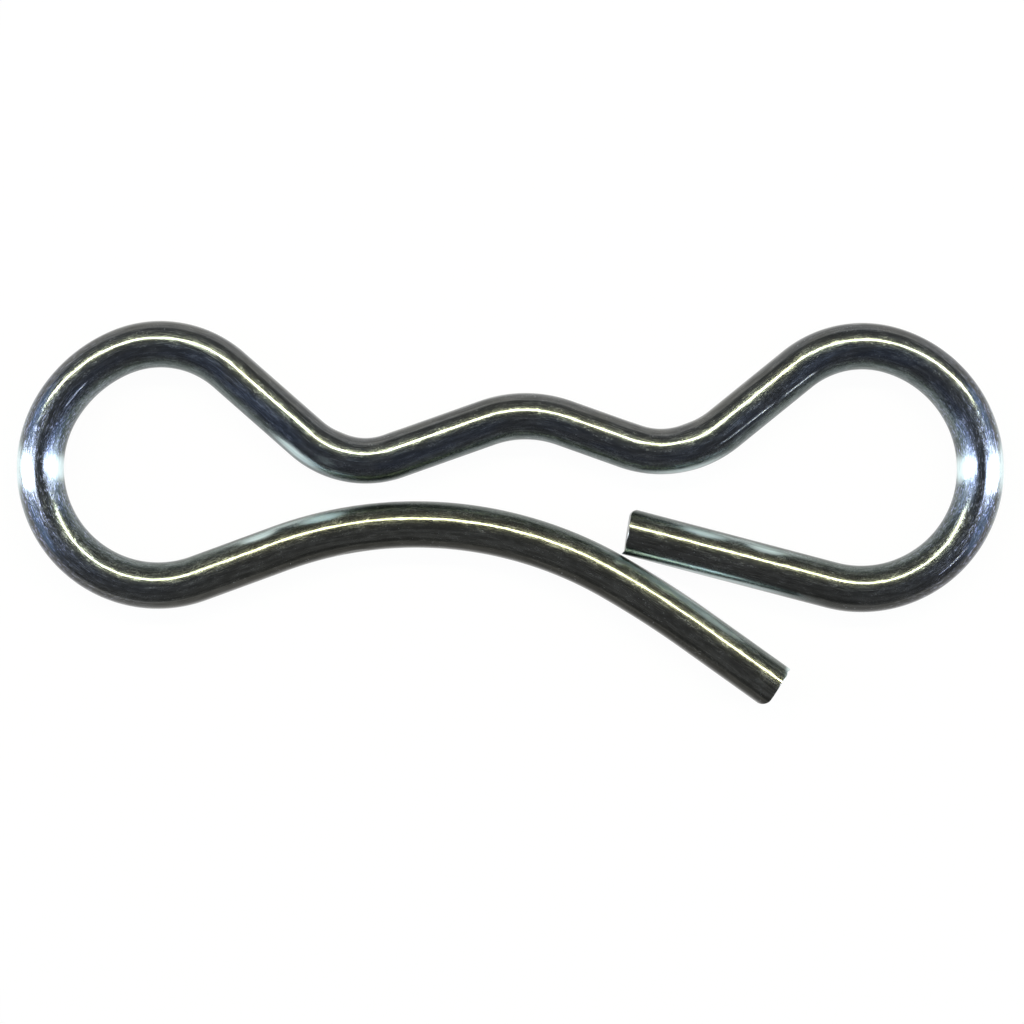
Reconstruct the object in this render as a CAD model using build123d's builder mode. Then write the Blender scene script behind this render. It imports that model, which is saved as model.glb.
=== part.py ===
"""Locking cotter pin: one length of spring wire, bent flat into a bow tie.

The pin lies flat, as it comes to rest. X runs along the pin, Y across it and Z up through the
thickness of the wire. The origin is under the middle of the pin's box, on the surface it lies on.
"""

from build123d import *
from math import acos, atan2, cos, degrees, hypot, radians, sin, tan
import os

# Wire
wire_diameter = 2.36

# Hump that seats on the shaft, and the straights that lead down from it
hump_radius = 5.85
hump_left_angle = 19.5
hump_right_angle = 19.6
hump_left_length = 4.91
hump_right_length = 3.36

# Dips each side of the hump, and the flanks that climb from them to the loops
left_dip_radius = 4.56
right_dip_radius = 5.12
left_flank_angle = 41.3
right_flank_angle = 39.0
left_flank_length = 5.23
right_flank_length = 4.78

# Left loop: three bends that run into each other at these directions from its centre
left_crown_radius = 5.23
left_back_radius = 6.89
left_lower_radius = 5.96
left_crown_end_angle = 113.4
left_back_end_angle = 149.1

# Right loop, in the same way
right_crown_radius = 5.22
right_back_radius = 6.27
right_lower_radius = 6.03
right_crown_end_angle = 74.3
right_back_end_angle = -10.6

# Long leg: a low arch under the dips, eased into the straight end that goes through the cross hole
waist_gap = 0.89
leg_run_length = 4.39
arch_radius = 20.05
arch_end_angle = 29.8
easing_radius = 50.5
leg_end_angle = 35.5
leg_end_length = 5.0

# Hook: the short leg, whose end rests on the long leg where that slopes by this angle
hook_rest_angle = 28.6
hook_clearance = 0.02

# Sheared ends: each leans by its slant, and is rolled over on its longer side
leg_end_slant_angle = 4.0
leg_end_roll_radius = 0.5
hook_end_slant_angle = 6.0
hook_end_roll_radius = 0.38
roll_run_out_angle = 2.0

wire_radius = wire_diameter / 2


def towards(angle):
    """The unit vector at this angle from +X, in degrees."""
    return Vector(cos(radians(angle)), sin(radians(angle)))


def run_angle(drop, radii, straight):
    """The angle at which a straight of this length slopes between two bends that turn opposite ways.

    The second bend's centre lies this far below the first one's, and radii is their sum.
    """
    return degrees(acos(drop / hypot(radii, straight)) - atan2(straight, radii))


def overrun(slant):
    """How far the longer side of a slanted end reaches past the middle of its face."""
    return wire_radius * tan(radians(slant))


def end_cutter(wire_end, outward, slant, roll):
    """The outline that shears the wire across here, and rolls the right-hand corner over.

    On the left it reaches no further past the wire than half the hook's clearance, because
    there the long leg lies against the hook's end.
    """
    margin = hook_clearance / 2
    corner = Vector(0, -wire_radius)
    shoulder = Vector(-2 * overrun(slant), wire_radius + margin)
    run_out = corner - towards(roll_run_out_angle) * wire_diameter
    with BuildSketch(Plane(origin=wire_end, x_dir=outward, z_dir=(0, 0, 1))) as cutter:
        with BuildLine():
            FilletPolyline(shoulder, corner, run_out, radius=roll)
            Polyline(
                run_out,
                (run_out.X, -wire_diameter),
                (margin, -wire_diameter),
                (margin, shoulder.Y),
                shoulder,
            )
        make_face()
    return cutter.sketch


# Centreline, bent both ways from the top of the hump, at the height of the wire's axis
with BuildLine(Plane.XY.offset(wire_radius)) as centreline:
    # Leftwards: hump, dip and flank, then over and round the left loop
    hump_left = JernArc((0, 0), (-1, 0), hump_radius, hump_left_angle)
    hump_left_run = PolarLine(hump_left @ 1, hump_left_length, direction=hump_left % 1)
    left_dip = JernArc(
        hump_left_run @ 1, hump_left_run % 1, left_dip_radius, -hump_left_angle - left_flank_angle
    )
    left_flank = PolarLine(left_dip @ 1, left_flank_length, direction=left_dip % 1)
    left_crown_turn = left_crown_end_angle - 90 + left_flank_angle
    left_crown = JernArc(left_flank @ 1, left_flank % 1, left_crown_radius, left_crown_turn)
    left_back = JernArc(
        left_crown @ 1, left_crown % 1, left_back_radius, left_back_end_angle - left_crown_end_angle
    )
    left_lower_centre = left_back @ 1 - towards(left_back_end_angle) * left_lower_radius

    # Long leg: its arch clears the left dip by the waist gap
    dip_bottom = (left_dip.arc_center.Y - left_dip_radius) - wire_radius
    arch_centre_y = dip_bottom - waist_gap - wire_radius - arch_radius
    leg_run_angle = run_angle(
        left_lower_centre.Y - arch_centre_y, left_lower_radius + arch_radius, leg_run_length
    )
    left_lower = JernArc(
        left_back @ 1, left_back % 1, left_lower_radius, 270 - left_back_end_angle + leg_run_angle
    )
    leg_run = PolarLine(left_lower @ 1, leg_run_length, direction=left_lower % 1)
    arch = JernArc(leg_run @ 1, leg_run % 1, arch_radius, -leg_run_angle - arch_end_angle)
    easing = JernArc(arch @ 1, arch % 1, easing_radius, arch_end_angle - leg_end_angle)
    leg_end = PolarLine(
        easing @ 1, leg_end_length + overrun(leg_end_slant_angle), direction=easing % 1
    )

    # Rightwards: hump, dip and flank, then over and round the right loop
    hump_right = JernArc((0, 0), (1, 0), hump_radius, -hump_right_angle)
    hump_right_run = PolarLine(hump_right @ 1, hump_right_length, direction=hump_right % 1)
    right_dip = JernArc(
        hump_right_run @ 1,
        hump_right_run % 1,
        right_dip_radius,
        hump_right_angle + right_flank_angle,
    )
    right_flank = PolarLine(right_dip @ 1, right_flank_length, direction=right_dip % 1)
    right_crown_turn = right_crown_end_angle - 90 - right_flank_angle
    right_crown = JernArc(right_flank @ 1, right_flank % 1, right_crown_radius, right_crown_turn)
    right_back = JernArc(
        right_crown @ 1, right_crown % 1, right_back_radius, right_back_end_angle - right_crown_end_angle
    )

    # Hook: one wire's thickness above the long leg's arch, and straight from the right loop
    hook_reach = arch_radius + wire_diameter + hook_clearance
    hook_end = arch.arc_center + towards(90 - hook_rest_angle) * hook_reach
    right_lower_centre = right_back @ 1 - towards(right_back_end_angle) * right_lower_radius
    hook_span = hook_end - right_lower_centre
    hook_straight = (hook_span.length**2 - right_lower_radius**2) ** 0.5
    hook_heading = degrees(
        atan2(hook_span.Y, hook_span.X) - atan2(right_lower_radius, hook_straight)
    )
    right_lower_turn = (right_back_end_angle - 90 - hook_heading) % 360
    right_lower = JernArc(
        right_back @ 1, right_back % 1, right_lower_radius, -right_lower_turn
    )
    hook = PolarLine(
        right_lower @ 1, hook_straight + overrun(hook_end_slant_angle), direction=right_lower % 1
    )

# Wire bent to shape, with its sheared ends
with BuildPart() as bent_wire:
    with BuildSketch(Plane(origin=leg_end @ 1, z_dir=leg_end % 1)):
        Circle(wire_radius)
    sweep(path=centreline.line)
    leg_cutter = end_cutter(leg_end @ 1, leg_end % 1, leg_end_slant_angle, leg_end_roll_radius)
    hook_cutter = end_cutter(hook @ 1, hook % 1, hook_end_slant_angle, hook_end_roll_radius)
    extrude(leg_cutter, amount=wire_diameter, both=True, mode=Mode.SUBTRACT)
    extrude(hook_cutter, amount=wire_diameter, both=True, mode=Mode.SUBTRACT)

# Finished pin, with the middle of its box over the origin
box_middle = bent_wire.part.bounding_box().center()
with BuildPart() as cotter_pin:
    with Locations((-box_middle.X, -box_middle.Y, 0)):
        add(bent_wire.part)

cotter_pin.part.label = "cotter_pin"

os.makedirs("parts", exist_ok=True)
export_step(cotter_pin.part, "parts/cotter_pin.step")
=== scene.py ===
"""Looks for the locking cotter pin: bright zinc-plated spring wire, bent flat and lying on a pale floor."""

from collections import namedtuple
from math import acos, atan2, cos, hypot, pi, radians, sin, tan

import bpy
import numpy as np
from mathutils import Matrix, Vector, noise


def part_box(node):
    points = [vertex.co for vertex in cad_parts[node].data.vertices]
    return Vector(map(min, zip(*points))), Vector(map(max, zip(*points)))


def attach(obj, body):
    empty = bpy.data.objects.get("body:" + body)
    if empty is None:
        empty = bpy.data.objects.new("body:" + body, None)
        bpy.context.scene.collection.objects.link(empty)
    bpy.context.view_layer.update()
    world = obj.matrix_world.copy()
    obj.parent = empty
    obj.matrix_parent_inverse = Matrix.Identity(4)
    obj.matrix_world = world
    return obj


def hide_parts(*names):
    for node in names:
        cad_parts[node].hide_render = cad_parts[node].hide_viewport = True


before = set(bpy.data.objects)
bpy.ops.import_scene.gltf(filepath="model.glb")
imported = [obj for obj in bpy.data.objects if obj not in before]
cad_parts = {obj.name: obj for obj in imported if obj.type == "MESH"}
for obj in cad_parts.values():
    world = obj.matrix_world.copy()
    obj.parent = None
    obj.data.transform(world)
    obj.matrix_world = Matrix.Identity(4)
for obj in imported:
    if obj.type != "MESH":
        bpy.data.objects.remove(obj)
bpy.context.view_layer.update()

MM = 0.001

# Wire and its bends: the same driving dimensions as the pin's own, in metres and radians
wire_diameter = 2.36 * MM
hump_radius = 5.85 * MM
hump_left_angle = radians(19.5)
hump_right_angle = radians(19.6)
hump_left_length = 4.91 * MM
hump_right_length = 3.36 * MM
left_dip_radius = 4.56 * MM
right_dip_radius = 5.12 * MM
left_flank_angle = radians(41.3)
right_flank_angle = radians(39.0)
left_flank_length = 5.23 * MM
right_flank_length = 4.78 * MM
left_crown_radius = 5.23 * MM
left_back_radius = 6.89 * MM
left_lower_radius = 5.96 * MM
left_crown_end_angle = radians(113.4)
left_back_end_angle = radians(149.1)
right_crown_radius = 5.22 * MM
right_back_radius = 6.27 * MM
right_lower_radius = 6.03 * MM
right_crown_end_angle = radians(74.3)
right_back_end_angle = radians(-10.6)
waist_gap = 0.89 * MM
leg_run_length = 4.39 * MM
arch_radius = 20.05 * MM
arch_end_angle = radians(29.8)
easing_radius = 50.5 * MM
leg_end_angle = radians(35.5)
leg_end_length = 5.0 * MM
hook_rest_angle = radians(28.6)
hook_clearance = 0.02 * MM
leg_end_slant_angle = radians(4.0)
leg_end_roll_radius = 0.5 * MM
hook_end_slant_angle = radians(6.0)
hook_end_roll_radius = 0.38 * MM
roll_run_out_angle = radians(2.0)

wire_radius = wire_diameter / 2

# Wire's mesh: vertices round it, its usual step along it, its finer step near the ends and over nicks, and
# the least steps over half of a longer mark
around = 64
station_step = 0.105 * MM
fine_step = 0.03 * MM
steps_over_mark = 8
tip_length = 1.6 * MM

# Rings of vertices over each sheared face, as shares of the wire's radius
cap_rings = (0.997, 0.988, 0.972, 0.948, 0.915, 0.87, 0.81, 0.74, 0.66, 0.57, 0.46, 0.34, 0.2)

# Metal pushed up round a mark: its share of the mark's depth, and how far out it lies
ridge_share = 0.35
ridge_reach = 1.6

# Sheared faces: where the burr rises from the face, the hollow inside the rim, and the unevenness, as the
# size of its waves, how much shorter they are in height, their seed and their depth
lip_root = 0.95
lip_rise = 0.03
face_hollow = 0.02 * MM
face_waves = ((0.35 * MM, 1.0, 3.1, 0.016 * MM), (0.12 * MM, 2.5, 7.7, 0.008 * MM))

# How sharply a pale patch of painted highlight and wear ends at its edge
patch_edge = 1.8

# Marks: place along the wire from the top of the hump, angle round it from its top, half the length, half
# the width and the depth. Small nicks come first, then the dents on the inner side and the flats outside
marks = (
    (-50.0 * MM, radians(72), 0.70 * MM, 0.16 * MM, 0.022 * MM),
    (-50.9 * MM, radians(64), 0.30 * MM, 0.10 * MM, 0.016 * MM),
    (-49.2 * MM, radians(80), 0.34 * MM, 0.12 * MM, 0.022 * MM),
    (0.61 * MM, radians(12), 0.09 * MM, 0.28 * MM, 0.012 * MM),
    (-8.59 * MM, radians(13), 0.10 * MM, 0.20 * MM, 0.012 * MM),
    (-10.31 * MM, radians(-19), 0.07 * MM, 0.09 * MM, 0.012 * MM),
    (18.67 * MM, radians(74), 0.26 * MM, 0.14 * MM, 0.018 * MM),
    (39.96 * MM, radians(-16), 0.07 * MM, 0.14 * MM, 0.010 * MM),
    (-48.70 * MM, radians(-50), 1.00 * MM, 0.26 * MM, 0.040 * MM),
    (-45.50 * MM, radians(-52), 0.85 * MM, 0.24 * MM, 0.036 * MM),
    (-11.60 * MM, radians(-52), 1.15 * MM, 0.28 * MM, 0.046 * MM),
    (43.30 * MM, radians(-50), 0.90 * MM, 0.24 * MM, 0.038 * MM),
    (46.49 * MM, radians(-51), 1.00 * MM, 0.24 * MM, 0.038 * MM),
    (-69.0 * MM, radians(-52), 1.70 * MM, 0.22 * MM, 0.034 * MM),
    (-8.50 * MM, radians(88), 1.30 * MM, 1.10 * MM, 0.045 * MM),
    (7.20 * MM, radians(88), 1.30 * MM, 1.10 * MM, 0.050 * MM),
)

# Pale patches, partly wear and mostly painted highlights where the side lamps' flares and reflections fall,
# on the loops and along the inner side: place, angle, half the length, half the width as an angle, and
# strength
glints_and_wear = (
    (-30.38 * MM, radians(70), 1.15 * MM, radians(32), 1.0),
    (-30.38 * MM, radians(-70), 0.80 * MM, radians(32), 1.0),
    (-30.38 * MM, radians(75), 3.20 * MM, radians(26), 0.3),
    (28.49 * MM, radians(70), 1.15 * MM, radians(32), 1.0),
    (28.49 * MM, radians(-70), 0.80 * MM, radians(32), 1.0),
    (28.49 * MM, radians(75), 3.20 * MM, radians(26), 0.3),
    (-48.70 * MM, radians(-49), 1.20 * MM, radians(13), 1.0),
    (-45.50 * MM, radians(-51), 1.00 * MM, radians(12), 1.0),
    (-47.20 * MM, radians(-59), 3.20 * MM, radians(9), 0.4),
    (-11.60 * MM, radians(-52), 1.35 * MM, radians(13), 1.0),
    (-10.29 * MM, radians(-23), 0.45 * MM, radians(7), 0.6),
    (43.30 * MM, radians(-48), 1.05 * MM, radians(11), 1.0),
    (44.50 * MM, radians(-58), 3.60 * MM, radians(8), 0.35),
    (46.49 * MM, radians(-49), 1.20 * MM, radians(12), 1.0),
    (-66.8 * MM, radians(-55), 3.60 * MM, radians(14), 0.75),
    (-69.0 * MM, radians(-50), 2.00 * MM, radians(11), 1.0),
    (-63.60 * MM, radians(-44), 0.30 * MM, radians(9), 0.5),
    (8.2 * MM, radians(-68), 1.60 * MM, radians(12), 0.5),
    (46.0 * MM, radians(60), 4.60 * MM, radians(22), 0.5),
    (50.25 * MM, radians(75), 0.22 * MM, radians(36), 0.8),
    (-73.75 * MM, radians(-75), 0.22 * MM, radians(40), 0.8),
)

# Fine scratches along the wire, in mm: from and to this place, angle at each, and strength
scratches = (
    (-27.15, -24.78, radians(-25), radians(-25), 0.8),
    (9.69, 13.6, radians(-25), radians(-29), 0.7),
    (13.6, 16.28, radians(-30), radians(-34), 0.9),
    (32.08, 34.55, radians(23), radians(23), 0.7),
)

# Burrs on the sheared edges: angle round the face, half the width as an angle, and height
leg_lips = ((radians(8), radians(22), 0.09 * MM), (radians(50), radians(12), 0.05 * MM))
hook_lips = ((radians(5), radians(26), 0.12 * MM), (radians(60), radians(15), 0.04 * MM))

# Film's colour, and its blue over the top of the bow tie
film_colour = (0.245, 0.242, 0.225)
blue_film_colour = (0.190, 0.225, 0.310)

# Painted shade across the wire, from the inner side to the outer: the film's colour is darkened and tinted
# teal a little on the inner side, and most just inside the outer rim, where the metal mirrors the dark room
painted_rim_shade = (
    (0.00, (0.62, 0.70, 0.68)),
    (0.09, (0.56, 0.66, 0.64)),
    (0.16, (0.74, 0.82, 0.82)),
    (0.27, (1.00, 1.00, 1.00)),
    (0.75, (1.00, 1.00, 1.00)),
    (0.79, (0.64, 0.64, 0.63)),
    (0.83, (0.33, 0.33, 0.32)),
    (0.87, (0.15, 0.15, 0.145)),
    (0.94, (0.11, 0.11, 0.105)),
    (1.00, (0.50, 0.50, 0.49)),
)

# Shares along the wire, each at a place in mm: of the painted rim shade, the blue, the painted light on the
# outer side and the flecks, and the wire's first and last places
rim_shade_along = ((-47, 1.0), (-36, 0.80), (33, 0.80), (43, 1.0))
blue_along = (
    (-45, 0.0), (-35, 0.8), (-28, 1.0), (-22, 0.8), (-12, 1.0), (0, 0.7), (12, 0.85), (30, 1.0), (40, 0.1),
)
upper_light_along = ((-30, 0.3), (-20, 1.0), (14, 1.0), (26, 0.4), (34, 0.0))
loops_along = (
    (-40, 0.0), (-33, 1.0), (-28, 1.0), (-22, 0.0), (21, 0.0), (26, 1.0), (31, 1.0), (38, 0.0),
)
first_place = -73.8
last_place = 50.4

# Other colours: haze, specks, flecks on the loops, the pale patches of painted highlight and wear, a sheared
# face's dark and pale grooves, and the painted light that lifts the outer side over the top of the bow tie
haze_colour = (0.48, 0.50, 0.54)
speck_colour = (0.75, 0.78, 0.84)
fleck_colour = (0.60, 0.64, 0.98)
glint_wear_colour = (0.86, 1.0, 1.0)
cut_colours = ((0.30, 0.31, 0.31), (0.46, 0.46, 0.45))
painted_upper_light = (1.7, 1.7, 1.62)

# Roughness: bright and dull metal, what the inner side and the pale patches of painted highlight and wear
# add, and a sheared face's grooves
bright_roughness = 0.09
dull_roughness = 0.38
inner_roughness = 0.14
glint_wear_roughness = 0.10
cut_roughness = (0.30, 0.48)
relief_depth = 0.0018 * MM

# Noises over the wire: times per mm along it, and twice across it, then detail and roughness
line_noise = ((1.2, 60.0, 60.0), 2.0, 0.5)
streak_noise = ((0.35, 9.0, 9.0), 4.0, 0.6)
patch_noise = ((0.40, 1.1, 1.1), 3.0, 0.55)
speck_noise = ((10.0, 19.0, 19.0), 2.0, 0.55)
fleck_noise = ((3.5, 20.0, 20.0), 2.0, 0.55)
cloud_noise = ((1.3, 4.5, 4.5), 5.0, 0.65)
fine_noise = ((24.0, 150.0, 150.0), 1.0, 0.55)
groove_noise = ((0.0, 4.0, 22.0), 4.0, 0.6)

# Floor: half its side, its colour, and how much of it is plain white to the camera and in metal
floor_half_side = 3.0
floor_colour = (0.8, 0.8, 0.8)
floor_white_share = 0.97

# Strip lamp overhead: its distance, its lean to the back, its size, radiance and colour
strip_distance = 0.35
strip_lean = radians(30)
strip_size = (0.66, 0.028)
strip_radiance = 27.0
strip_colour = (0.98, 1.0, 0.60)

# Lamps at each side: place outwards, half the azimuth and half the elevation they fill, radiance and colour
side_reach = 0.3
side_lamps = {
    "lamp": (side_reach, radians(6), radians(70), 12.0, (0.82, 0.90, 1.0)),
    "glow": (side_reach * 1.05, radians(34), radians(56), 0.55, (0.36, 0.58, 1.0)),
}

# Room's level at each rise above the horizon, from a pale backdrop to a dim ceiling, and its tint
room = ((0.0, 0.75), (0.03, 0.50), (0.08, 0.30), (0.14, 0.20), (0.22, 0.14), (0.35, 0.11), (1.0, 0.10))
room_tint = (0.96, 1.0, 1.04)

# Photograph's frame: its width at the height of the wire's axis, and its middle
photo_width = 51.9 * MM
photo_middle = (0.083 * MM, 0.008 * MM)
camera_lens = 100.0
sensor_width = 36.0

# A sheared end: the place of its face, -1 or 1 for outwards along the wire, and its slant, roll and burrs
End = namedtuple("End", "stop outwards slant roll lips")


class Route:
    """A line in the wire's plane, laid out by straight runs and round bends and read by its length."""

    def __init__(self, heading):
        self.pieces = []
        self.length = 0.0
        self.x = 0.0
        self.y = 0.0
        self.heading = heading

    def run(self, length, turn=0.0):
        """Goes on for this length, turning left by this angle on the way."""
        self.pieces.append((self.length, self.x, self.y, self.heading, turn / length))
        chord = length * np.sinc(turn / 2 / pi)
        self.x += chord * cos(self.heading + turn / 2)
        self.y += chord * sin(self.heading + turn / 2)
        self.heading += turn
        self.length += length

    def bend(self, radius, turn):
        """Goes round a bend of this radius, to the left if turn is positive."""
        self.run(radius * abs(turn), turn)

    def centre(self, radius):
        """The centre of a bend that starts here: on the left, or on the right if radius is negative."""
        return self.x - radius * sin(self.heading), self.y + radius * cos(self.heading)

    def at(self, lengths):
        """x, y and heading at each of these lengths from the start."""
        starts, x, y, heading, curvature = np.array(self.pieces).T
        piece = np.clip(np.searchsorted(starts, lengths, side="right") - 1, 0, len(starts) - 1)
        gone = lengths - starts[piece]
        half = gone * curvature[piece] / 2
        chord = gone * np.sinc(half / pi)
        way = heading[piece] + half
        return x[piece] + chord * np.cos(way), y[piece] + chord * np.sin(way), way + half


def overrun(slant):
    """How far the longer side of a slanted end reaches past the middle of its face."""
    return wire_radius * tan(slant)


def lay_out_wire():
    """The two halves of the wire's centreline, leftwards and rightwards from the top of the hump."""
    left = Route(pi)
    left.bend(hump_radius, hump_left_angle)
    left.run(hump_left_length)
    dip_bottom = left.centre(-left_dip_radius)[1] - left_dip_radius - wire_radius
    left.bend(left_dip_radius, -hump_left_angle - left_flank_angle)
    left.run(left_flank_length)
    left.bend(left_crown_radius, left_crown_end_angle - pi / 2 + left_flank_angle)
    left.bend(left_back_radius, left_back_end_angle - left_crown_end_angle)
    arch_centre_y = dip_bottom - waist_gap - wire_radius - arch_radius
    drop = left.centre(left_lower_radius)[1] - arch_centre_y
    radii = left_lower_radius + arch_radius
    leg_run_angle = acos(drop / hypot(radii, leg_run_length)) - atan2(leg_run_length, radii)
    left.bend(left_lower_radius, 1.5 * pi - left_back_end_angle + leg_run_angle)
    left.run(leg_run_length)
    arch_x, arch_y = left.centre(-arch_radius)
    left.bend(arch_radius, -leg_run_angle - arch_end_angle)
    left.bend(easing_radius, arch_end_angle - leg_end_angle)
    left.run(leg_end_length + overrun(leg_end_slant_angle))

    right = Route(0.0)
    right.bend(hump_radius, -hump_right_angle)
    right.run(hump_right_length)
    right.bend(right_dip_radius, hump_right_angle + right_flank_angle)
    right.run(right_flank_length)
    right.bend(right_crown_radius, right_crown_end_angle - pi / 2 - right_flank_angle)
    right.bend(right_back_radius, right_back_end_angle - right_crown_end_angle)
    hook_reach = arch_radius + wire_diameter + hook_clearance
    lower_x, lower_y = right.centre(-right_lower_radius)
    span_x = arch_x + hook_reach * sin(hook_rest_angle) - lower_x
    span_y = arch_y + hook_reach * cos(hook_rest_angle) - lower_y
    hook_straight = (span_x**2 + span_y**2 - right_lower_radius**2) ** 0.5
    hook_heading = atan2(span_y, span_x) - atan2(right_lower_radius, hook_straight)
    right.bend(right_lower_radius, -((right_back_end_angle - pi / 2 - hook_heading) % (2 * pi)))
    right.run(hook_straight + overrun(hook_end_slant_angle))
    return left, right


def tip_outline(across, slant, roll):
    """How far a sheared end reaches out, at this distance to the left of its axis.

    The face leans by the slant, and its right-hand corner is rolled over to the wire's side.
    """
    face = -(across + wire_radius) * tan(slant)
    sides = np.array([[cos(slant), sin(slant)], [-sin(roll_run_out_angle), cos(roll_run_out_angle)]])
    centre = np.linalg.solve(sides, [-roll, roll])
    rise = across + wire_radius - centre[1]
    rolled = centre[0] + np.sqrt(np.maximum(roll**2 - rise**2, 0))
    return np.where(rise < roll * sin(slant), rolled, face)


def unevenness(points, size, seed):
    """Smooth noise between -1 and 1 at each of these points, with waves of about this size."""
    return np.array([noise.noise(Vector(p) / size + Vector((seed, 0, 0))) for p in points])


def off_angle(angle, middle):
    """How far each angle is from the middle one, between -pi and pi."""
    return (angle - middle + pi) % (2 * pi) - pi


def ragged_lip(across, height, end):
    """The height of the burr in each of these directions on a sheared end."""
    angle = np.arctan2(height, end.outwards * across)
    lip = np.zeros_like(angle)
    for middle, half_width, top in end.lips:
        lip = np.maximum(lip, top * np.exp(-((off_angle(angle, middle) / half_width) ** 4)))
    return lip


def wire_stations(start, end):
    """Places along the wire for its rings of vertices, closer near the ends and over the marks."""
    stations = [
        np.linspace(start, end, round((end - start) / station_step) + 1),
        np.arange(start, start + tip_length, fine_step),
        np.arange(end, end - tip_length, -fine_step),
    ]
    for place, _, length, _, _ in marks:
        step = max(fine_step, length / steps_over_mark)
        stations.append(np.arange(place - length, place + length, step))
    stations = np.sort(np.concatenate(stations))
    return stations[np.append(True, np.diff(stations) > fine_step / 2)]


def wire_wall(stations, ends):
    """Rings of vertices on the straight wire, as place along, across and height from its axis.

    Near an end, each line of vertices stops where the sheared end's outline and its burr cut it.
    """
    angle = np.arange(around) * 2 * pi / around
    along, turned = np.meshgrid(stations, angle, indexing="ij")
    radius = np.full_like(along, wire_radius)
    for place, side, length, width, depth in marks:
        off = off_angle(turned, side)
        reach = ((along - place) / length) ** 2 + (off * wire_radius / width) ** 2
        ridge = ridge_share * np.exp(-((reach - ridge_reach) ** 2))
        radius -= depth * (np.exp(-reach) - ridge)
    across = radius * np.sin(turned)
    height = radius * np.cos(turned)
    shift = np.zeros_like(along)
    for end in ends:
        outline = tip_outline(end.outwards * across, end.slant, end.roll)
        to_end = (tip_length - end.outwards * (end.stop - along)) / tip_length
        shift += np.clip(to_end, 0, 1) * end.outwards * (outline + ragged_lip(across, height, end))
    return np.stack([along + shift, across, height], axis=-1)


def end_cap(rim, end):
    """Rings of vertices over a sheared end's face, from inside its rim to its middle."""
    rings = []
    for share in cap_rings + (0.0,):
        across, height = rim[:, 1] * share, rim[:, 2] * share
        lip = ragged_lip(rim[:, 1], rim[:, 2], end) * np.clip((share - lip_root) / lip_rise, 0, 1)
        reach = tip_outline(end.outwards * across, end.slant, end.roll) + lip
        points = np.stack([end.stop + end.outwards * reach, across, height], axis=-1)
        relief = np.zeros(around)
        for size, squeeze, seed, depth in face_waves:
            relief += unevenness(points * (0, 1, squeeze), size, seed + end.outwards) * depth
        points[:, 0] += end.outwards * (relief * (1 - share**8) - face_hollow * (1 - share**16))
        rings.append(points)
    return np.array(rings)


def wire_faces(station_count):
    """The wire's quads, and a fan of triangles in the middle of each end.

    The wall's rings are numbered first, then the leg's cap and its middle, then the hook's.
    """
    faces = []

    def join(first, second):
        """Quads between two rings of vertices, given by the number of each ring's first one."""
        for j in range(around):
            k = (j + 1) % around
            faces.append((first + j, first + k, second + k, second + j))

    for i in range(station_count - 1):
        join((i + 1) * around, i * around)
    leg_cap = station_count * around
    hook_cap = leg_cap + len(cap_rings) * around + 1
    for rim, cap, flip in ((0, leg_cap, False), ((station_count - 1) * around, hook_cap, True)):
        for i in range(len(cap_rings)):
            ring = cap + i * around
            join(ring, rim) if flip else join(rim, ring)
            rim = ring
        middle = cap + len(cap_rings) * around
        for j in range(around):
            k = (j + 1) % around
            faces.append((rim + k, rim + j, middle) if flip else (rim + j, rim + k, middle))
    return faces


def bend_wire(places, left, right):
    """Where these places on the straight wire lie once it is bent, kept inside the solid's own box."""
    s = places[:, 0]
    lx, ly, lh = left.at(-np.minimum(s, 0))
    rx, ry, rh = right.at(np.maximum(s, 0))
    x, y, heading = np.where(s < 0, (lx, ly, lh + pi), (rx, ry, rh))
    across = places[:, 1]
    points = np.stack([x - across * np.sin(heading), y + across * np.cos(heading), places[:, 2]], axis=-1)
    low, high = (np.array(corner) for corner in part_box("cotter_pin"))
    shrink = np.minimum(1, (high - low) / (points.max(0) - points.min(0)))
    return (low + high) / 2 + (points - (points.min(0) + points.max(0)) / 2) * shrink


def glint_wear_at(places):
    """How much painted highlight and wear the wire has at each of these places, from 0 to 1."""
    turned = np.arctan2(places[:, 1], places[:, 2])
    wear = np.zeros(len(places))
    for place, side, length, width, strength in glints_and_wear:
        reach = ((places[:, 0] - place) / length) ** 2 + (off_angle(turned, side) / width) ** 2
        wear = np.maximum(wear, strength * np.exp(-(reach**patch_edge)))
    return wear


def build_wire():
    """The bent wire's mesh, which also carries its straight places, its painted highlights and wear, and its
    sheared faces.
    """
    left, right = lay_out_wire()
    leg = End(-left.length, -1, leg_end_slant_angle, leg_end_roll_radius, leg_lips)
    hook = End(right.length, 1, hook_end_slant_angle, hook_end_roll_radius, hook_lips)
    wall = wire_wall(wire_stations(leg.stop, hook.stop), (leg, hook))
    places = [wall.reshape(-1, 3)]
    for rim, end in ((wall[0], leg), (wall[-1], hook)):
        cap = end_cap(rim, end)
        places += [cap[:-1].reshape(-1, 3), cap[-1][:1]]
    places = np.concatenate(places)

    mesh = bpy.data.meshes.new("spring_wire")
    mesh.from_pydata(bend_wire(places, left, right).tolist(), [], wire_faces(len(wall)))
    mesh.polygons.foreach_set("use_smooth", [True] * len(mesh.polygons))
    wire_place = mesh.attributes.new("wire_place", "FLOAT_VECTOR", "POINT")
    wire_place.data.foreach_set("vector", (places / MM).astype(np.float32).ravel())
    sheared = np.arange(len(places)) >= len(wall) * around
    for name, values in (("glints_and_wear", glint_wear_at(places)), ("sheared", sheared)):
        mesh.attributes.new(name, "FLOAT", "POINT").data.foreach_set("value", values.astype(np.float32))
    mesh.update()
    wire = bpy.data.objects.new("spring_wire", mesh)
    bpy.context.scene.collection.objects.link(wire)
    return wire


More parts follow.
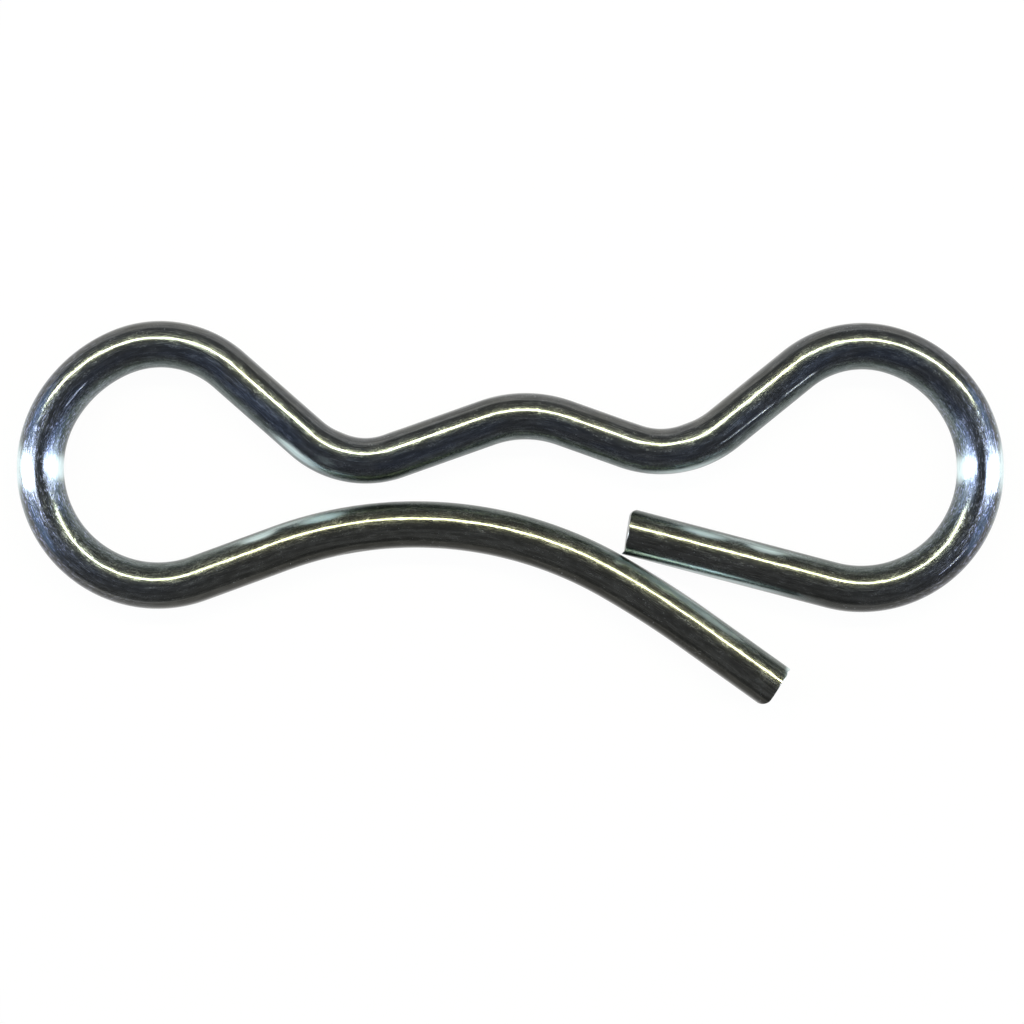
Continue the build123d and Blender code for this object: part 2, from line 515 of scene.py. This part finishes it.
class Nodes:
    """The node tree of a material or a world, with short calls to add nodes and link them."""

    def __init__(self, owner):
        owner.use_nodes = True
        self.tree = owner.node_tree
        self.tree.nodes.clear()

    def plug(self, node, socket, value):
        """Links an output to the socket, or sets the socket to a value or a colour."""
        socket = node.inputs[socket]
        if isinstance(value, bpy.types.NodeSocket):
            self.tree.links.new(value, socket)
        else:
            socket.default_value = (*value, 1) if socket.type == "RGBA" else value

    def add(self, kind, inputs=(), **settings):
        """A new node of this kind: settings set its properties, and inputs are (socket, value or output)."""
        node = self.tree.nodes.new(kind)
        for name, value in settings.items():
            setattr(node, name, value)
        for socket, value in inputs:
            self.plug(node, socket, value)
        return node

    def math(self, operation, a, b=0.0, clamp=False):
        node = self.add("ShaderNodeMath", [(0, a), (1, b)], operation=operation, use_clamp=clamp)
        return node.outputs[0]

    def scaled(self, value, factor):
        return self.math("MULTIPLY", value, factor)

    def most(self, a, b):
        return self.math("MAXIMUM", a, b)

    def attribute(self, name, output="Fac"):
        """A value that the mesh carries."""
        node = self.add("ShaderNodeAttribute", attribute_name=name, attribute_type="GEOMETRY")
        return node.outputs[output]

    def ramp(self, factor, stops):
        """The colour at this factor, between stops of a position and a colour."""
        node = self.add("ShaderNodeValToRGB", [("Fac", factor)])
        elements = node.color_ramp.elements
        for position, colour in stops[1:-1]:
            elements.new(position).color = (*colour, 1)
        for element, (position, colour) in ((elements[0], stops[0]), (elements[-1], stops[-1])):
            element.position = position
            element.color = (*colour, 1)
        return node.outputs["Color"]

    def along(self, length, stops):
        """A share read along the wire: each stop is a place in mm from the top of the hump, and the share."""
        whole = last_place - first_place
        read = tuple(((place - first_place) / whole, (share,) * 3) for place, share in stops)
        return self.ramp(length, read)

    def noise(self, place, stretch, detail, roughness):
        """Noise on the wire's own place, with its grain this many times per mm along and across the wire."""
        mapped = self.add("ShaderNodeMapping", [("Vector", place), ("Scale", stretch)])
        node = self.add(
            "ShaderNodeTexNoise",
            [("Vector", mapped.outputs[0]), ("Scale", 1.0), ("Detail", detail), ("Roughness", roughness)],
        )
        return node.outputs["Fac"]

    def between(self, value, low, high, to_low=0.0, to_high=1.0, kind="SMOOTHSTEP"):
        """The value mapped from low..high to to_low..to_high, with soft ends, and kept inside them."""
        ends = [("From Min", low), ("From Max", high), ("To Min", to_low), ("To Max", to_high)]
        return self.add("ShaderNodeMapRange", [("Value", value)] + ends, interpolation_type=kind).outputs[0]

    def mix(self, factor, a, b, blend="MIX"):
        """Two colours mixed: the sockets of this node share names, so they go by number."""
        node = self.add("ShaderNodeMix", [(0, factor)], data_type="RGBA", blend_type=blend)
        self.plug(node, 6, a)
        self.plug(node, 7, b)
        return node.outputs[2]


def scratch_share(n, along, turned, lines):
    """How much of a scratch there is: thin lines that fade at both ends, broken up by the drawn lines."""
    scratched = 0.0
    for start, end, angle, end_angle, strength in scratches:
        line = n.between(along, start, end, angle, end_angle, "LINEAR")
        off = n.math("ABSOLUTE", n.math("SUBTRACT", turned, line))
        inside = n.math("ABSOLUTE", n.math("SUBTRACT", along, (start + end) / 2))
        inside = n.between(inside, (end - start) / 2 - 0.6, (end - start) / 2, strength, 0.0)
        inside = n.scaled(inside, n.between(lines, 0.38, 0.55, 0.25, 1.0))
        inside = n.scaled(n.between(off, 0.015, 0.05, 1.0, 0.0), inside)
        scratched = n.most(inside, scratched)
    return scratched


def film_with_painted_shade(n, length, side, patches, inner):
    """The clear film's colour, bluer over the top of the bow tie, with painted shade across the wire: darker
    outside the bends than inside.
    """
    blue = n.along(length, blue_along)
    blue = n.scaled(blue, n.between(side, 0.35, 0.85, 1.0, 0.35))
    blue = n.scaled(blue, n.between(patches, 0.35, 0.6, 0.55, 1.0))
    blue = n.scaled(blue, n.between(inner, 0.0, 1.0, 1.0, 0.25))
    steel = n.mix(blue, film_colour, blue_film_colour)
    # Painted shade: the film's colour is darkened across the wire by the rim shade ramp
    share = n.most(n.along(length, rim_shade_along), inner)
    return n.mix(share, steel, n.ramp(side, painted_rim_shade), "MULTIPLY")


def zinc_finish():
    """Bright zinc plate under a clear film: smooth, with fine dull lines, haze and specks along the wire, and
    painted shade, light and highlights in its colour.
    """
    material = bpy.data.materials.new("bright_zinc")
    n = Nodes(material)
    place = n.attribute("wire_place", "Vector")
    glint_wear_share = n.attribute("glints_and_wear")
    sheared = n.attribute("sheared")
    along, across, height = n.add("ShaderNodeSeparateXYZ", [("Vector", place)]).outputs
    length = n.between(along, first_place, last_place, kind="LINEAR")
    side = n.between(across, -wire_radius / MM, wire_radius / MM, kind="LINEAR")
    turned = n.math("ARCTAN2", across, height)
    inner = n.between(side, 0.12, 0.34, 1.0, 0.0)
    lines = n.noise(place, *line_noise)
    streaks = n.noise(place, *streak_noise)
    patches = n.noise(place, *patch_noise)
    specks = n.noise(place, *speck_noise)
    flecks = n.noise(place, *fleck_noise)
    clouds = n.noise(place, *cloud_noise)
    fine = n.noise(place, *fine_noise)
    grooves = n.noise(place, *groove_noise)

    # Pale marks: a few specks, flecks on the loops' upper half, and the scratches
    pale = n.scaled(n.between(specks, 0.69, 0.75, 0.0, 0.8), n.between(patches, 0.45, 0.6))
    loops = n.along(length, loops_along)
    on_loops = n.scaled(loops, n.between(height, -0.1, 0.4))
    pale = n.most(pale, n.scaled(n.between(flecks, 0.56, 0.66, 0.0, 0.65), on_loops))
    scratched = scratch_share(n, along, turned, lines)
    pale = n.most(pale, scratched)

    # Dull parts: lines finer than the strip's reflection that gather in patches, haze, and a very fine grain
    dull = n.math("ADD", lines, n.scaled(n.math("SUBTRACT", patches, 0.5), 0.25))
    dull = n.math("ADD", dull, n.scaled(n.math("SUBTRACT", streaks, 0.5), 0.18))
    dull = n.between(dull, 0.52, 0.72, 0.0, 0.8)
    haze = n.scaled(n.between(clouds, 0.46, 0.64), n.between(specks, 0.42, 0.60, 0.1, 1.0))
    dull = n.most(dull, n.most(pale, n.scaled(haze, 0.7)))
    dull = n.most(dull, n.between(fine, 0.51, 0.61, 0.0, 0.62))

    colour = film_with_painted_shade(n, length, side, patches, inner)
    drawn = n.between(n.math("ADD", streaks, clouds), 0.80, 1.20, 0.72, 1.18)
    colour = n.mix(1.0, colour, drawn, "MULTIPLY")
    # Painted light: the outer side over the top of the bow tie is made paler, as if more light fell on it
    # from the back
    upper_light = n.scaled(n.along(length, upper_light_along), n.between(side, 0.58, 0.72))
    colour = n.mix(upper_light, colour, painted_upper_light, "MULTIPLY")
    colour = n.mix(n.scaled(haze, n.between(side, 0.72, 0.84, 0.20, 0.0)), colour, haze_colour)
    colour = n.mix(pale, colour, n.mix(loops, speck_colour, fleck_colour))
    # Painted highlights, partly wear: pale patches where the lamps' flares and reflections fall
    colour = n.mix(n.scaled(glint_wear_share, n.between(streaks, 0.35, 0.6, 0.8, 1.0)), colour, glint_wear_colour)
    colour = n.mix(sheared, colour, n.mix(n.between(grooves, 0.42, 0.62), *cut_colours))

    rough = n.between(dull, 0.0, 1.0, bright_roughness, dull_roughness, "LINEAR")
    rough = n.most(rough, n.scaled(sheared, n.between(grooves, 0.4, 0.6, *cut_roughness)))
    rough = n.math("ADD", rough, n.scaled(inner, inner_roughness))
    rough = n.math("ADD", rough, n.scaled(glint_wear_share, glint_wear_roughness), clamp=True)

    relief = n.math("ADD", n.scaled(streaks, 0.5), n.scaled(lines, 0.25))
    relief = n.math("ADD", relief, n.scaled(specks, 0.1))
    relief = n.math("SUBTRACT", relief, n.scaled(scratched, 6.0))
    bump = n.add("ShaderNodeBump", [("Strength", 1.0), ("Distance", relief_depth), ("Height", relief)])
    shader = n.add(
        "ShaderNodeBsdfPrincipled",
        [("Metallic", 1.0), ("Base Color", colour), ("Roughness", rough), ("Normal", bump.outputs[0])],
    )
    n.add("ShaderNodeOutputMaterial", [("Surface", shader.outputs[0])])
    return material


def floor_finish():
    """Plain white, shown at full white to the camera and in metal, with the pin's faint shadow."""
    material = bpy.data.materials.new("white_floor")
    n = Nodes(material)
    path = n.add("ShaderNodeLightPath")
    seen = n.most(path.outputs["Is Camera Ray"], path.outputs["Is Glossy Ray"])
    seen = n.most(seen, path.outputs["Is Transmission Ray"])
    matt = n.add("ShaderNodeBsdfDiffuse", [("Color", floor_colour)])
    white = n.add("ShaderNodeEmission", [("Color", (1, 1, 1)), ("Strength", 1.0)])
    both = n.add(
        "ShaderNodeMixShader",
        [(0, n.scaled(seen, floor_white_share)), (1, matt.outputs[0]), (2, white.outputs[0])],
    )
    n.add("ShaderNodeOutputMaterial", [("Surface", both.outputs[0])])
    return material


def lay_floor(half_side):
    """A square floor round the pin, at the height it lies on."""
    mesh = bpy.data.meshes.new("floor")
    corners = [(x * half_side, y * half_side, 0) for x, y in ((-1, -1), (1, -1), (1, 1), (-1, 1))]
    mesh.from_pydata(corners, [], [(0, 1, 2, 3)])
    mesh.materials.append(floor_finish())
    floor = bpy.data.objects.new("floor", mesh)
    bpy.context.scene.collection.objects.link(floor)


def hang_lamp(name, shape, place, target, size, radiance, colour):
    """A flat lamp of this shape that faces the target, this wide and high, with this radiance."""
    light = bpy.data.lights.new(name, "AREA")
    light.shape = shape
    light.size, light.size_y = size
    area = size[0] * size[1] * (pi / 4 if shape == "ELLIPSE" else 1)
    light.energy = radiance * pi * area
    light.color = colour
    lamp = bpy.data.objects.new(name, light)
    lamp.location = place
    lamp.rotation_euler = (Vector(target) - Vector(place)).to_track_quat("-Z", "Y").to_euler()
    lamp.visible_camera = False
    bpy.context.scene.collection.objects.link(lamp)


def light_scene():
    """A long strip lamp overhead, a bright narrow lamp within a dim blue one at each side, and a dim room."""
    strip_place = (0, strip_distance * sin(strip_lean), strip_distance * cos(strip_lean))
    hang_lamp("strip", "RECTANGLE", strip_place, (0, 0, 0), strip_size, strip_radiance, strip_colour)
    for name, outwards in (("left", -1), ("right", 1)):
        for kind, (reach, half_azimuth, half_elevation, radiance, colour) in side_lamps.items():
            size = (2 * side_reach * tan(half_azimuth), 2 * side_reach * tan(half_elevation))
            place = (outwards * reach, 0, 0)
            hang_lamp(f"{name}_{kind}", "ELLIPSE", place, (0, 0, 0), size, radiance, colour)
    world = bpy.data.worlds.new("studio")
    n = Nodes(world)
    way = n.add("ShaderNodeTexCoord").outputs["Generated"]
    rise = n.add("ShaderNodeSeparateXYZ", [("Vector", way)]).outputs["Z"]
    levels = tuple((at, tuple(level * tint for tint in room_tint)) for at, level in room)
    shade = n.add("ShaderNodeBackground", [("Color", n.ramp(rise, levels)), ("Strength", 1.0)])
    n.add("ShaderNodeOutputWorld", [("Surface", shade.outputs[0])])
    bpy.context.scene.world = world


def place_camera():
    """The camera looks straight down on the pin, and sees the photograph's width at the wire's axis."""
    camera = bpy.data.cameras.new("camera")
    camera.lens = camera_lens
    camera.sensor_width = sensor_width
    camera.clip_start = 0.001
    holder = bpy.data.objects.new("camera", camera)
    holder.location = (*photo_middle, wire_radius + photo_width * camera_lens / sensor_width)
    bpy.context.scene.collection.objects.link(holder)
    bpy.context.scene.camera = holder


place_camera()
lay_floor(floor_half_side)
light_scene()
wire = build_wire()
wire.data.materials.append(zinc_finish())
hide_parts("cotter_pin")
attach(wire, "root")
bpy.context.scene.view_settings.view_transform = "Standard"
